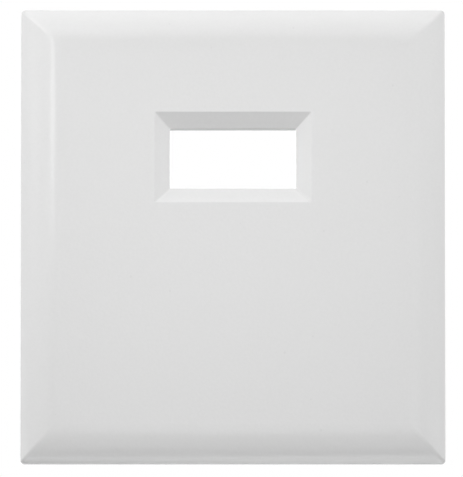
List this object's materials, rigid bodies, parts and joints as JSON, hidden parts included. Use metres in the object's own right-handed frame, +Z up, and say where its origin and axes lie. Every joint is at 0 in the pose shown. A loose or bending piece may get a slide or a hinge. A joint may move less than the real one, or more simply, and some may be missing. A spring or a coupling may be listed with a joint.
{
  "type": "keystone faceplate",
  "caption": "Moulded rectangular cover plate with wide crowned bevels, a chamfered jack window in its upper half and snap hooks behind.",
  "frame": {"origin": "centre of the plate on the plane of its rear rim, which seats on the wall frame", "axes": "+X to the right, +Z up as installed, -Y out of the wall towards the room"},
  "size_m": [0.06, 0.0111, 0.065],
  "materials": {
    "white_plastic": "satin white moulded plastic with a fine spark-eroded grain"
  },
  "bodies": {
    "root": {"faceplate": "white_plastic"}
  },
  "joints": []
}
